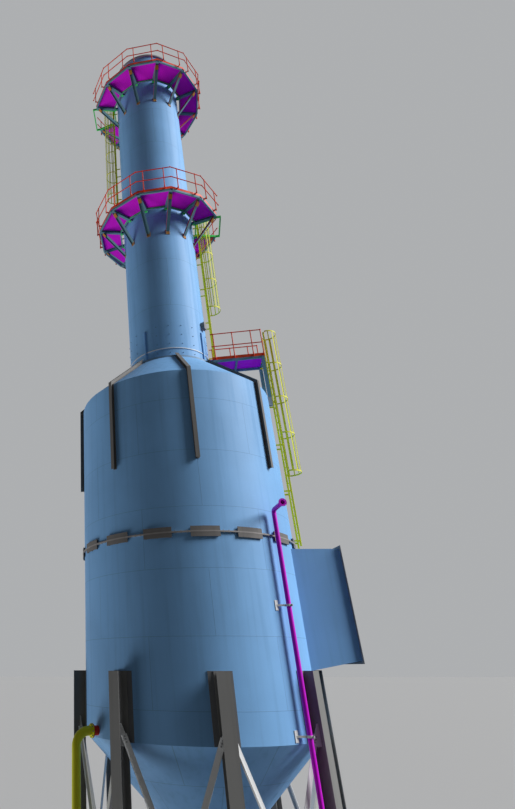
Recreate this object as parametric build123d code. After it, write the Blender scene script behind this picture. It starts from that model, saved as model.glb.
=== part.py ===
from build123d import *
import math
import os

# Wet scrubber: a cylindrical vessel on eight columns, with a 45 degree hopper below,
# a conical roof and a tall central stack above, two twelve-sided walkways round the
# stack, a small walkway on the roof, three caged ladders, a gas inlet duct, a riser
# clamped to the wall and an overflow pipe. Millimetres, +Z up. The origin is on the
# vessel's axis at ground level, and +X points along the gas inlet duct.

# Vessel
shell_r = 3600.0
shell_wall = 16.0
shell_foot_z = 6500.0
lower_course_h = 5455.0
upper_course_h = 5495.0
girth_flange_w = 72.0
girth_flange_t = 20.0
clamp_count = 16
clamp_w = 880.0
clamp_h = 135.0
clamp_t = 15.0
clamp_depth = 67.0
clamp_web_share = 0.85

# Hopper and outlet
hopper_wall = 14.0
outlet_r = 300.0
outlet_wall = 12.0
outlet_l = 300.0
outlet_flange_r = 390.0
outlet_flange_t = 30.0
outlet_bolt_count = 12
outlet_bolt_circle_r = 350.0
outlet_bolt_r = 13.0

# Roof, stack and their stiffeners
roof_wall = 14.0
roof_rise = 1575.0
base_ring_w = 200.0
base_ring_t = 80.0
stack_r = 1600.0
stack_wall = 12.0
stack_h = 18730.0
stack_split_h = 7200.0
stack_top_ring_w = 70.0
stack_top_ring_t = 90.0
stack_band_lift = 413.0
stack_band_w = 25.0
stack_band_h = 30.0
stack_bar_count = 4
stack_bar_first_deg = 47.5
stack_bar_h = 1445.0
stack_bar_w = 60.0
stack_bar_t = 40.0
rib_count = 8
rib_w = 130.0
rib_depth = 130.0
rib_flange_t = 12.0
rib_web_t = 8.0
rib_drop = 3200.0

# Columns, base plates and bracing
leg_count = 8
leg_flange_w = 360.0
leg_depth = 370.0
leg_flange_t = 20.0
leg_web_t = 14.0
leg_lap = 1735.0
pad_t = 20.0
pad_w = 670.0
base_plate_t = 30.0
base_plate_l = 580.0
base_plate_w = 480.0
anchor_offset = 235.0
anchor_r = 16.5
brace_flat_w = 150.0
brace_out_w = 75.0
brace_t = 10.0
brace_top_lift = 374.0
brace_foot_z = 280.0
brace_end_inset = 60.0
brace_trim = 190.0
gusset_t = 12.0
gusset_l = 260.0
gusset_h = 460.0
gusset_past_bar = 80.0
gusset_cut = 120.0
gusset_slant = 120.0
gusset_back = 60.0
centre_plate_size = 200.0

# Gas inlet duct, along +X
duct_half_w = 1960.0
duct_below_girth = 220.0
duct_h = 3405.0
duct_past_wall = 950.0
duct_wall = 10.0
duct_floor_slope_deg = 10.0
duct_flange_w = 90.0
duct_flange_t = 16.0
duct_bolt_r = 11.0

# Round walkways
walk_sides = 12
walk_off_stack = 175.0
walk_w = 1015.0
mid_walk_lift = 7605.0
top_walk_below_mouth = 2341.0
beam_w = 130.0
beam_h = 100.0
beam_flange_t = 9.0
beam_web_t = 6.0
edge_beam_w = 60.0
inner_beam_w = 40.0
grating_t = 30.0
grating_gap = 10.0
strut_w = 160.0
strut_depth = 75.0
strut_t = 10.0
strut_drop = 1310.0
strut_tip_inset = 90.0
beam_tip_inset = 30.0
foot_plate_w = 180.0
foot_plate_h = 240.0
foot_plate_t = 16.0
foot_plate_lift = 40.0
rail_size = 40.0
rail_gap = 2.0
rail_off_beam = 105.0
rail_h = 1120.0
mid_rail_h = 540.0
post_share = 0.19
post_bracket_w = 80.0
post_bracket_h = 100.0
toe_h = 100.0
toe_t = 6.0
toe_inset = 5.0
toe_gap = 1.0
hatch_bar = 50.0
hatch_bulge = 180.0
hatch_gap = 1.0

# Ladders and cages
ladder_az = -9.6
ladder_half_w = 225.0
stile_depth = 65.0
stile_t = 10.0
rung_size = 25.0
rung_pitch = 300.0
rung_first_h = 180.0
stile_past_floor = 1200.0
ladder_standoff = 240.0
shell_ladder_standoff = 270.0
standoff_pitch = 2400.0
standoff_h = 60.0
standoff_first_h = 150.0
standoff_last_drop = 1450.0
cage_r = 365.0
cage_lead = 120.0
hoop_t = 8.0
hoop_h = 50.0
hoop_pitch = 1450.0
strap_count = 7
strap_step_deg = 30.0
strap_w = 40.0
strap_t = 6.0
seat_gap = 0.3
cage_start_h = 2640.0
shell_ladder_gap_over_duct = 300.0

# Walkway on the roof, in the ladders' direction
roof_walk_lift = 305.0
roof_walk_past_wall = 120.0
roof_walk_half_w = 500.0
roof_post_size = 120.0
roof_post_foot_lift = 150.0
roof_seat_h = 350.0
roof_rail_off_stack = 120.0
roof_rail_end_inset = 5.0
roof_post_shares = (0.05, 0.43, 0.8, 1.0)

# Riser clamped to the wall
riser_az = -53.0
riser_off_wall = 216.0
riser_r = 68.0
riser_wall = 6.0
riser_foot_z = 600.0
riser_head_lift = 765.0
riser_bend_r = 110.0
riser_head_l = 920.0
riser_flange_r = 120.0
riser_flange_t = 22.0
riser_bolt_circle_r = 96.0
riser_bolt_r = 9.0
riser_bolt_count = 8
riser_clamp_lifts = (180.0, 3434.0)
riser_clamp_h = 60.0
riser_clamp_t = 12.0
riser_plate_w = 120.0
riser_plate_h = 280.0
riser_plate_t = 20.0
riser_plate_shift_deg = 4.4
riser_arm = 50.0

# Overflow
overflow_az = 205.0
overflow_lift = 180.0
overflow_r = 125.0
overflow_wall = 8.0
overflow_nozzle_l = 190.0
overflow_reach = 494.0
overflow_bend_r = 375.0
overflow_foot_z = 600.0
overflow_flange_r = 185.0
overflow_flange_t = 24.0
overflow_bolt_circle_r = 160.0
overflow_bolt_r = 11.0
overflow_bolt_count = 8

# Places that follow from them
girth_z = shell_foot_z + lower_course_h
shell_top_z = girth_z + upper_course_h
ring_z = shell_top_z + roof_rise
stack_foot_z = ring_z + base_ring_t
stack_top_z = stack_foot_z + stack_h
roof_neck_r = stack_r + base_ring_w
leg_top_z = shell_foot_z + leg_lap
leg_axis_r = shell_r + pad_t + leg_depth / 2
brace_top_z = shell_foot_z + brace_top_lift
duct_top_z = girth_z - duct_below_girth
duct_foot_z = duct_top_z - duct_h
duct_end_x = shell_r + duct_past_wall
side_deg = 360.0 / walk_sides
half_side = math.radians(side_deg / 2)
walk_inner_vertex_r = stack_r + walk_off_stack
walk_outer_vertex_r = walk_inner_vertex_r + walk_w
walk_out = walk_outer_vertex_r * math.cos(half_side)
walk_in = walk_inner_vertex_r * math.cos(half_side)
mid_walk_z = stack_foot_z + mid_walk_lift
top_walk_z = stack_top_z - top_walk_below_mouth
roof_walk_z = ring_z + roof_walk_lift
roof_walk_end = shell_r + roof_walk_past_wall
roof_post_foot_z = shell_top_z + roof_post_foot_lift
roof_floor_z = roof_walk_z + beam_h + grating_t
mid_floor_z = mid_walk_z + beam_h + grating_t
top_floor_z = top_walk_z + beam_h + grating_t
riser_axis_r = shell_r + riser_off_wall
riser_head_z = girth_z + riser_head_lift
overflow_z = shell_foot_z + overflow_lift
overflow_axis_r = shell_r + overflow_nozzle_l + overflow_reach

os.makedirs("parts", exist_ok=True)


def save(name, shapes):
    """Writes one node: a solid, or several like solids that don't touch."""
    shapes = [s for item in shapes for s in item.solids()]
    whole = shapes[0] if len(shapes) == 1 else Compound(children=shapes)
    export_step(whole, f"parts/{name}.step")


def turned(shape, degrees):
    return Rot(0, 0, degrees) * shape


def around(shape, count, first=0.0, skip=()):
    return [turned(shape, first + 360.0 / count * i) for i in range(count) if i not in skip]


def ring(r_in, r_out, z, h):
    return extrude(Plane.XY.offset(z) * (Circle(r_out) - Circle(r_in)), amount=h)


def drum(r, z, h):
    return extrude(Plane.XY.offset(z) * Circle(r), amount=h)


def block(x0, x1, y0, y1, z0, z1):
    size = (x1 - x0, y1 - y0, z1 - z0)
    return Pos((x0 + x1) / 2, (y0 + y1) / 2, (z0 + z1) / 2) * Box(*size)


def spun(points):
    """A ring-shaped wall, from its outline in radius and height."""
    return revolve(Plane.XZ * make_face(Polyline(*points, close=True)), axis=Axis.Z)


def slab(points, z, h):
    """A flat plate, from its outline seen from above."""
    return extrude(Plane.XY.offset(z) * make_face(Polyline(*points, close=True)), amount=h)


def bar(start, end, w, h, ref=(0, 0, 1)):
    """A square-cut bar between two points, w across and h along ref."""
    line = Vector(end) - Vector(start)
    across = line.cross(Vector(ref)).normalized()
    section = Plane(origin=start, x_dir=across, z_dir=line.normalized()) * Rectangle(w, h)
    return extrude(section, amount=line.length)


def bolted_ring(r_in, r_out, t, bolt_circle_r, bolt_r, count):
    """A flange that lies on the XY plane, with its bolt holes."""
    plate = ring(r_in, r_out, 0, t)
    return plate - around(Pos(bolt_circle_r, 0, 0) * drum(bolt_r, 0, t), count)


def pipe(points, bend_r, r_out, wall):
    """A round tube along straight runs joined by one bend."""
    path = FilletPolyline(*points, radius=bend_r)
    section = Plane(origin=path @ 0, z_dir=path % 0) * (Circle(r_out) - Circle(r_out - wall))
    return sweep(section, path=path)


# Vessel walls

def duct_profile(inset, x0, x1):
    """Side view of the duct, inset by its wall, with a floor that falls to the vessel."""
    fall = math.tan(math.radians(duct_floor_slope_deg))
    foot = duct_foot_z + inset
    points = [(x0, foot + fall * (x0 - shell_r)), (x1, foot + fall * (x1 - shell_r)),
              (x1, duct_top_z - inset), (x0, duct_top_z - inset)]
    half = duct_half_w - inset
    face = Plane.XZ.offset(-half) * make_face(Polyline(*points, close=True))
    return extrude(face, amount=2 * half)


def lower_course():
    wall = ring(shell_r - shell_wall, shell_r, shell_foot_z, lower_course_h)
    nozzle = Pos(0, 0, overflow_z) * Rot(0, 90, 0) * drum(overflow_r - overflow_wall, 0, 2 * shell_r)
    return wall - duct_profile(duct_wall, shell_r / 2, 2 * shell_r) - turned(nozzle, overflow_az)


def upper_course():
    return ring(shell_r - shell_wall, shell_r, girth_z, upper_course_h)


def girth_clamp():
    """A curved bolting plate beside the girth flange, on three webs welded to the wall."""
    outer = shell_r + clamp_depth
    plate = Circle(outer) - Circle(outer - clamp_t)
    half_deg = math.degrees(clamp_w / 2 / outer)
    wedge = make_face(Polyline((0, 0), (2 * outer, -2 * outer * math.tan(math.radians(half_deg))),
                               (2 * outer, 2 * outer * math.tan(math.radians(half_deg))), close=True))
    web = Pos(shell_r + (clamp_depth - clamp_t) / 2, 0) * Rectangle(clamp_depth, clamp_t)
    web_deg = half_deg * clamp_web_share
    plan = (plate & wedge) + [Rot(0, 0, a) * web for a in (-web_deg, 0, web_deg)] - Circle(shell_r)
    return extrude(plan & Circle(outer), amount=clamp_h)


def hopper():
    rise = shell_r - outlet_r
    skin = hopper_wall * math.sqrt(2)
    foot = shell_foot_z - rise
    return spun([(outlet_r, foot), (shell_r, shell_foot_z), (shell_r - skin, shell_foot_z),
                 (outlet_r - outlet_wall, foot + skin - outlet_wall), (outlet_r - outlet_wall, foot)])


def outlet():
    top = shell_foot_z - (shell_r - outlet_r)
    neck = ring(outlet_r - outlet_wall, outlet_r, top - outlet_l, outlet_l)
    flange = bolted_ring(outlet_r - outlet_wall, outlet_flange_r, outlet_flange_t,
                         outlet_bolt_circle_r, outlet_bolt_r, outlet_bolt_count)
    return neck + Pos(0, 0, top - outlet_l) * flange


def roof():
    run = shell_r - roof_neck_r
    slant = math.hypot(run, roof_rise)
    drop = roof_wall * slant / run
    side = roof_wall * slant / roof_rise
    return spun([(shell_r, shell_top_z), (roof_neck_r, ring_z), (roof_neck_r - side, ring_z),
                 (shell_r - side, shell_top_z)])


def rib_strip(near, far, w):
    """The part of a rib between two distances from the vessel, w across, from the neck down the
    cone, over the rim and down the wall."""
    run = shell_r - roof_neck_r
    rise = roof_rise / run
    lift = math.hypot(1, rise)
    foot = shell_top_z - rib_drop
    points = [(roof_neck_r, ring_z + near * lift), (shell_r + near, shell_top_z + near * (lift - rise)),
              (shell_r + near, foot), (shell_r + far, foot),
              (shell_r + far, shell_top_z + far * (lift - rise)), (roof_neck_r, ring_z + far * lift)]
    face = Plane.XZ.offset(-w / 2) * make_face(Polyline(*points, close=True))
    return extrude(face, amount=w)


def roof_rib():
    """A bent H section: a flange on the vessel, a web and an outer flange."""
    t = rib_flange_t
    flanges = rib_strip(0, t, rib_w) + rib_strip(rib_depth - t, rib_depth, rib_w)
    return flanges + rib_strip(t, rib_depth - t, rib_web_t)


def stack_bar():
    """An upright bar on the stack's foot, standing on the base ring, cut back at its top."""
    half = stack_bar_t / 2
    out = stack_r + stack_bar_w
    top = stack_foot_z + stack_bar_h
    points = [(stack_r - half, stack_foot_z), (out, stack_foot_z), (out, top - stack_bar_w),
              (stack_r, top), (stack_r - half, top)]
    face = Plane.XZ.offset(-half) * make_face(Polyline(*points, close=True))
    return extrude(face, amount=stack_bar_t) - drum(stack_r, stack_foot_z, stack_bar_h)


def stack_band():
    """A light ring round the stack's foot, in one length between each two upright bars."""
    band = ring(stack_r, stack_r + stack_band_w, stack_foot_z + stack_band_lift, stack_band_h)
    return (band - around(stack_bar(), stack_bar_count, stack_bar_first_deg)).solids()


# Columns and bracing

def leg():
    """One column of H section, its web along the vessel's radius."""
    inner = leg_axis_r - leg_depth / 2
    outer = leg_axis_r + leg_depth / 2
    half = leg_flange_w / 2
    section = [block(inner, inner + leg_flange_t, -half, half, base_plate_t, leg_top_z),
               block(outer - leg_flange_t, outer, -half, half, base_plate_t, leg_top_z),
               block(inner, outer, -leg_web_t / 2, leg_web_t / 2, base_plate_t, leg_top_z)]
    return section[0] + section[1] + section[2]


def leg_pad():
    """A curved plate between the vessel's wall and the column."""
    full = ring(shell_r, shell_r + pad_t, shell_foot_z, leg_top_z - shell_foot_z)
    return full & block(0, 2 * shell_r, -pad_w / 2, pad_w / 2, shell_foot_z, leg_top_z)


def base_plate():
    plate = block(leg_axis_r - base_plate_l / 2, leg_axis_r + base_plate_l / 2,
                  -base_plate_w / 2, base_plate_w / 2, 0, base_plate_t)
    holes = [Pos(leg_axis_r + s * anchor_offset, 0, 0) * drum(anchor_r, 0, base_plate_t) for s in (-1, 1)]
    return plate - holes


bay_half = math.radians(180.0 / leg_count)
bay_x = leg_axis_r * math.cos(bay_half)
bay_y = leg_axis_r * math.sin(bay_half)


def brace(side):
    """One angle bar of a bay's cross, on the outer (+1) or inner (-1) face of its plates."""
    end_y = bay_y - brace_end_inset
    start = Vector(0, -side * end_y, brace_top_z)
    end = Vector(0, side * end_y, brace_foot_z)
    line = (end - start).normalized()
    face_x = bay_x + side * gusset_t / 2
    plane = Plane(origin=start + Vector(face_x, 0, 0), x_dir=(side, 0, 0), z_dir=line)
    flat = Pos(brace_t / 2, 0) * Rectangle(brace_t, brace_flat_w)
    out = Pos(brace_out_w / 2, brace_flat_w / 2 - brace_t / 2) * Rectangle(brace_out_w, brace_t)
    length = (end - start).length - 2 * brace_trim
    return extrude(plane.offset(brace_trim) * (flat + out), amount=length)


def brace_gusset(side, top):
    """A five-sided plate welded to a column's web, in the plane of the bay's bracing."""
    up = -1 if top else 1
    bar_end = brace_top_z if top else brace_foot_z
    back = bar_end - up * gusset_past_bar
    front = bar_end + up * gusset_h
    tip = bay_y - gusset_l
    outline = [(bay_y, back), (bay_y, front), (tip + gusset_slant, front), (tip, front - up * gusset_cut),
               (bay_y - gusset_back, back)]
    face = make_face(Polyline(*[(bay_x, side * y, z) for y, z in outline], close=True))
    plate = extrude(face, amount=gusset_t / 2, dir=(1, 0, 0), both=True)
    web = block(0, 2 * shell_r, -leg_web_t / 2, leg_web_t / 2, base_plate_t, leg_top_z)
    return plate - turned(web, side * 180.0 / leg_count)


def centre_plate():
    z = (brace_top_z + brace_foot_z) / 2
    half = centre_plate_size / 2
    return block(bay_x - gusset_t / 2, bay_x + gusset_t / 2, -half, half, z - half, z + half)


# Inlet duct

def inlet_duct():
    body = duct_profile(0, 0, duct_end_x) - duct_profile(duct_wall, -duct_wall, duct_end_x + duct_wall)
    return body - drum(shell_r, shell_foot_z, lower_course_h)


def duct_flange():
    """A flat frame round the duct's mouth, with four corner holes for guide bolts."""
    fall = math.tan(math.radians(duct_floor_slope_deg))
    foot = duct_foot_z + fall * (duct_end_x - shell_r)
    w = duct_flange_w
    plate = block(duct_end_x, duct_end_x + duct_flange_t, -duct_half_w - w, duct_half_w + w,
                  foot - w, duct_top_z + w)
    t = duct_wall
    plate -= block(duct_end_x, duct_end_x + duct_flange_t, -duct_half_w + t, duct_half_w - t,
                   foot + t, duct_top_z - t)
    hole = Rot(0, 90, 0) * drum(duct_bolt_r, 0, duct_flange_t)
    corners = [(s * (duct_half_w + w / 2), z) for s in (-1, 1) for z in (foot - w / 2, duct_top_z + w / 2)]
    return plate - [Pos(duct_end_x, y, z) * hole for y, z in corners]


# Round walkways

def side_plan(a_in, a_out, gap):
    """One side of the twelve, between two distances from the axis, held gap off each corner line."""
    def half(a):
        return a * math.tan(half_side) - gap / math.cos(half_side)
    return [(a_in, -half(a_in)), (a_out, -half(a_out)), (a_out, half(a_out)), (a_in, half(a_in))]


def walk_beam(x0, x1, z):
    """A radial H section."""
    half, t = beam_w / 2, beam_flange_t
    flanges = block(x0, x1, -half, half, z, z + t) + block(x0, x1, -half, half, z + beam_h - t, z + beam_h)
    return flanges + block(x0, x1, -beam_web_t / 2, beam_web_t / 2, z + t, z + beam_h - t)


def walk_strut(foot, top):
    """A diagonal angle bar: its wide leg above, its narrow one down its left side."""
    line = top - foot
    plane = Plane(origin=foot, x_dir=(0, 1, 0), z_dir=line.normalized())
    wide = Pos(0, (strut_depth - strut_t) / 2) * Rectangle(strut_w, strut_t)
    narrow = Pos((strut_t - strut_w) / 2, 0) * Rectangle(strut_t, strut_depth)
    return extrude(plane * (wide + narrow), amount=line.length)


def walk_bracket(z):
    """A radial beam at a corner, its diagonal strut and the plates welded to the stack."""
    tip = walk_outer_vertex_r - beam_tip_inset
    inside = stack_r - stack_wall
    beam = walk_beam(inside, tip, z)
    foot = Vector(inside, 0, z - strut_drop)
    top = Vector(tip - strut_tip_inset, 0, z + beam_h / 2)
    strut = walk_strut(foot, top) - block(inside, tip, -strut_w, strut_w, z, z + 2 * beam_h)
    half_w, half_h = foot_plate_w / 2, foot_plate_h / 2
    plates = [block(inside, stack_r + foot_plate_t, -half_w, half_w, h - half_h, h + half_h)
              for h in (z - strut_drop + foot_plate_lift, z + beam_h / 2)]
    whole = beam + strut + plates[0] + plates[1]
    return whole - drum(stack_r, z - 2 * strut_drop, 3 * strut_drop)


def walk_panel(z):
    """The handrail of one side: a toe board on the edge beam, two posts held outside the beam on
    brackets, and two rails."""
    toe = walk_out - toe_inset
    inner = walk_out + rail_off_beam
    outer = inner + rail_size
    foot = z + beam_h
    floor = foot + grating_t
    half = walk_outer_vertex_r * math.sin(half_side)
    panel = slab(side_plan(inner, outer, rail_gap / 2), floor + rail_h - rail_size, rail_size)
    panel += slab(side_plan(inner, outer, rail_gap / 2), floor + mid_rail_h - rail_size, rail_size)
    post_half, bracket_half = rail_size / 2, post_bracket_w / 2
    for s in (-1, 1):
        y = s * half * (1 - 2 * post_share)
        panel += block(inner, outer, y - post_half, y + post_half, foot, floor + rail_h - rail_size)
        panel += block(toe, outer, y - bracket_half, y + bracket_half, foot, foot + post_bracket_h)
    return panel + slab(side_plan(toe - toe_t, toe, rail_gap), foot, grating_t + toe_h)


def walk_grating(z):
    outer = walk_out - toe_inset - toe_t - toe_gap
    return slab(side_plan(walk_in, outer, grating_gap / 2), z + beam_h, grating_t)


def walk_edge_beams(z):
    edge = slab(side_plan(walk_out - edge_beam_w, walk_out, beam_w / 2), z, beam_h)
    inner = slab(side_plan(walk_in, walk_in + inner_beam_w, beam_w / 2), z, beam_h)
    return [edge, inner]


def hatch_plan(a_in, a_out, gap):
    """The ladder's opening seen from above: one side of the twelve, and straight on past its edge."""
    side = side_plan(a_in, walk_out, gap)
    half = side[2][1]
    return side[:2] + [(a_out, -half), (a_out, half)] + side[2:]


def hatch_frame(z):
    """Bars round the ladder's opening: across its inner and outer ends and along its sides."""
    outer = walk_out + hatch_bulge
    ends = hatch_bar + hatch_gap
    gap = beam_w / 2
    half = side_plan(walk_in, walk_out, gap)[2][1]
    bars = [block(outer - hatch_bar, outer, -half, half, z, z + beam_h),
            slab(side_plan(walk_in, walk_in + hatch_bar, gap), z, beam_h)]
    sides = slab(hatch_plan(walk_in + ends, outer - ends, gap), z, beam_h)
    return bars + [sides - slab(hatch_plan(walk_in, outer, gap + hatch_bar), z, beam_h)]


def walkway(name, z, hatch_side):
    """Writes all nodes of one round walkway. hatch_side is the side left open for a ladder."""
    first = ladder_az
    skip = (hatch_side,)
    corner = first + side_deg / 2
    save(f"{name}_brackets", around(walk_bracket(z), walk_sides, corner))
    beams = [around(b, walk_sides, first, skip) for b in walk_edge_beams(z)]
    save(f"{name}_edge_beams", beams[0] + beams[1])
    save(f"{name}_grating", around(walk_grating(z), walk_sides, first, skip))
    save(f"{name}_handrail", around(walk_panel(z), walk_sides, first, skip))
    save(f"{name}_hatch_frame", [turned(b, first + side_deg * hatch_side) for b in hatch_frame(z)])


# Ladders

def ladder(wall_r, standoff, z0, z1):
    """Two stiles with their wall brackets, and the rungs held between them. The stiles end at
    hand height above the top floor, and the last rung is level with it."""
    x = wall_r + standoff
    depth = stile_depth / 2
    bracket_count = max(2, round((z1 - z0) / standoff_pitch) + 1)
    bracket_span = z1 - z0 - standoff_first_h - standoff_last_drop
    pieces = []
    for s in (-1, 1):
        y0, y1 = sorted((s * ladder_half_w, s * (ladder_half_w + stile_t)))
        stile = block(x - depth, x + depth, y0, y1, z0, z1)
        for i in range(bracket_count):
            z = z0 + standoff_first_h + bracket_span * i / (bracket_count - 1)
            stile += block(wall_r - standoff / 2, x, y0, y1, z, z + standoff_h)
        pieces.append(stile - drum(wall_r, z0, z1 - z0))
    half = ladder_half_w - seat_gap
    for i in range(int((z1 - stile_past_floor - z0) / rung_pitch)):
        z = z0 + rung_first_h + rung_pitch * i
        pieces.append(block(x - rung_size / 2, x + rung_size / 2, -half, half, z, z + rung_size))
    return pieces


def cage(wall_r, standoff, z0, z1):
    """Hoops with straight ears on the stiles, and the upright flat straps seated inside them."""
    front = wall_r + standoff + stile_depth / 2
    centre = Pos(front + cage_lead, 0)
    behind = Pos(-cage_lead - cage_r, 0) * Rectangle(2 * cage_r, 2 * cage_r)
    ear_l = math.sqrt((cage_r - hoop_t) ** 2 - cage_lead ** 2) + hoop_t / 2 - ladder_half_w
    ears = [Pos(hoop_t / 2 - cage_lead, s * (ladder_half_w + ear_l / 2)) * Rectangle(hoop_t, ear_l)
            for s in (-1, 1)]
    hoop = extrude(centre * (Circle(cage_r) - Circle(cage_r - hoop_t) - behind + ears), amount=hoop_h)
    count = max(2, round((z1 - z0) / hoop_pitch) + 1)
    pieces = [Pos(0, 0, z0 + (z1 - z0 - hoop_h) * i / (count - 1)) * hoop for i in range(count)]
    seat_r = math.sqrt((cage_r - hoop_t - seat_gap) ** 2 - (strap_w / 2) ** 2)
    strap = block(seat_r - strap_t, seat_r, -strap_w / 2, strap_w / 2, z0, z1)
    for i in range(strap_count):
        angle = strap_step_deg * (i - (strap_count - 1) / 2)
        pieces.append(centre * turned(strap, angle))
    return pieces


# Walkway on the roof

def roof_walk_frame():
    """Two long beams, two cross beams and the outer posts, fixed to stack and wall."""
    z0, z1 = roof_walk_z, roof_walk_z + beam_h
    end = roof_walk_end
    half = roof_walk_half_w
    w = edge_beam_w
    frame = block(0, end, -half, w - half, z0, z1) + block(0, end, half - w, half, z0, z1)
    for x in ((stack_r + end - w) / 2, end - w):
        frame += block(x, x + w, -half, half, z0, z1)
    for y in (-half, half - roof_post_size):
        frame += block(end - roof_post_size, end, y, y + roof_post_size, roof_post_foot_z, z0)
    return frame - drum(stack_r, z0, beam_h)


def roof_walk_seats():
    """A stool under each post, welded to the top of the vessel's wall."""
    z0, z1 = roof_post_foot_z - roof_seat_h, roof_post_foot_z
    ys = (-roof_walk_half_w, roof_walk_half_w - roof_post_size)
    stools = [block(shell_r / 2, roof_walk_end, y, y + roof_post_size, z0, z1) for y in ys]
    return [s - drum(shell_r, z0, z1 - z0) for s in stools]


def roof_walk_grating():
    half = roof_walk_half_w - toe_inset - toe_t - toe_gap
    plate = block(stack_r, roof_walk_end - grating_gap, -half, half,
                  roof_walk_z + beam_h, roof_walk_z + beam_h + grating_t)
    return plate - drum(stack_r + stack_bar_w + grating_gap, roof_walk_z, 2 * beam_h)


def roof_walk_rails():
    """A handrail outside each long beam, on brackets, with a toe board on the beam."""
    foot = roof_walk_z + beam_h
    top = roof_floor_z + rail_h
    x0, x1 = stack_r + roof_rail_off_stack, roof_walk_end - roof_rail_end_inset
    panels = []
    for s in (-1, 1):
        toe = s * (roof_walk_half_w - toe_inset)
        rail = s * (roof_walk_half_w + rail_off_beam)
        rail_y = sorted((rail, rail + s * rail_size))
        panel = block(x0, x1, *sorted((toe, toe - s * toe_t)), foot, roof_floor_z + toe_h)
        for h in (rail_h, mid_rail_h):
            panel += block(x0, x1, *rail_y, roof_floor_z + h - rail_size, roof_floor_z + h)
        for share in roof_post_shares:
            x = x0 + (x1 - x0 - rail_size) * share
            panel += block(x, x + rail_size, *rail_y, foot, top - rail_size)
            panel += block(x, x + rail_size, *sorted((toe, rail)), foot, foot + post_bracket_h)
        panels.append(panel)
    return panels


# Riser and overflow

def riser_pipe():
    a = math.radians(riser_az)
    x, y = riser_axis_r * math.cos(a), riser_axis_r * math.sin(a)
    head_y = y - riser_head_l
    run = pipe([(x, y, riser_foot_z), (x, y, riser_head_z), (x, head_y, riser_head_z)],
               riser_bend_r, riser_r, riser_wall)
    flange = bolted_ring(riser_r - riser_wall, riser_flange_r, riser_flange_t,
                         riser_bolt_circle_r, riser_bolt_r, riser_bolt_count)
    foot = Pos(x, y, riser_foot_z) * flange
    head = Pos(x, head_y, riser_head_z) * Rot(-90, 0, 0) * flange
    return run + foot + head


def riser_clamp(z):
    """A wall plate, an arm and a ring round the riser, worked out at the riser's own angle."""
    grip = ring(riser_r, riser_r + riser_clamp_t, 0, riser_clamp_h)
    grip = Pos(riser_axis_r, 0, z - riser_clamp_h / 2) * grip
    plate = block(shell_r - riser_plate_t, shell_r + riser_plate_t, -riser_plate_w / 2, riser_plate_w / 2,
                  z - riser_plate_h / 2, z + riser_plate_h / 2)
    plate = turned(plate, -riser_plate_shift_deg)
    a = math.radians(-riser_plate_shift_deg)
    start = (shell_r * math.cos(a), shell_r * math.sin(a), z)
    toward = Vector(riser_axis_r, 0, z) - Vector(start)
    reach = toward.length - riser_r - riser_clamp_t / 2
    end = Vector(start) + toward.normalized() * reach
    arm = bar(start, end, riser_arm, riser_arm)
    return grip + plate + arm - drum(shell_r, z - riser_plate_h, 2 * riser_plate_h)


def overflow_flange():
    return bolted_ring(overflow_r - overflow_wall, overflow_flange_r, overflow_flange_t,
                       overflow_bolt_circle_r, overflow_bolt_r, overflow_bolt_count)


def overflow_nozzle():
    """A short branch welded to the wall, with the flange at its end."""
    end = shell_r + overflow_nozzle_l
    tube = ring(overflow_r - overflow_wall, overflow_r, shell_r / 2, end - shell_r / 2)
    branch = tube + Pos(0, 0, end - overflow_flange_t) * overflow_flange()
    return Pos(0, 0, overflow_z) * Rot(0, 90, 0) * branch - drum(shell_r, 0, girth_z)


def overflow_pipe():
    """From its flange on the branch, out through one bend and down to the foot flange."""
    start = shell_r + overflow_nozzle_l
    run = pipe([(start, 0, overflow_z), (overflow_axis_r, 0, overflow_z),
                (overflow_axis_r, 0, overflow_foot_z)], overflow_bend_r, overflow_r, overflow_wall)
    head = Pos(start, 0, overflow_z) * Rot(0, 90, 0) * overflow_flange()
    foot = Pos(overflow_axis_r, 0, overflow_foot_z) * overflow_flange()
    return run + head + foot


# Write every node

save("shell_lower_course", [lower_course()])
save("shell_upper_course", [upper_course()])
girth_flange = ring(shell_r, shell_r + girth_flange_w, girth_z, girth_flange_t)
save("girth_flange_lower", [Pos(0, 0, -girth_flange_t) * girth_flange])
save("girth_flange_upper", [girth_flange])
clamp = girth_clamp()
save("girth_clamps", [Pos(0, 0, z) * c for z in (girth_z + girth_flange_t, girth_z - girth_flange_t - clamp_h)
                      for c in around(clamp, clamp_count)])
save("hopper_cone", [hopper()])
save("hopper_outlet", [outlet()])
save("roof_cone", [roof()])
save("roof_ribs", around(roof_rib(), rib_count))
save("stack_base_ring", [ring(stack_r - stack_wall, roof_neck_r, ring_z, base_ring_t)])
save("stack_foot_bars", around(stack_bar(), stack_bar_count, stack_bar_first_deg))
save("stack_foot_band", stack_band())
stack_lengths = {"stack_lower": (0.0, stack_split_h), "stack_upper": (stack_split_h, stack_h)}
for name, (h0, h1) in stack_lengths.items():
    save(name, [ring(stack_r - stack_wall, stack_r, stack_foot_z + h0, h1 - h0)])
save("stack_top_ring", [ring(stack_r, stack_r + stack_top_ring_w, stack_top_z - stack_top_ring_t,
                             stack_top_ring_t)])

save("legs", around(leg(), leg_count))
save("leg_pads", around(leg_pad(), leg_count))
save("base_plates", around(base_plate(), leg_count))
bay = 180.0 / leg_count
save("braces_outer", around(brace(1), leg_count, bay))
save("braces_inner", around(brace(-1), leg_count, bay))
plates = [brace_gusset(s, top) for s in (-1, 1) for top in (False, True)] + [centre_plate()]
save("brace_plates", [p for plate in plates for p in around(plate, leg_count, bay)])

save("inlet_duct", [inlet_duct()])
save("inlet_duct_flange", [duct_flange()])

walkway("mid_walkway", mid_walk_z, 0)
walkway("top_walkway", top_walk_z, walk_sides // 2)

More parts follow.
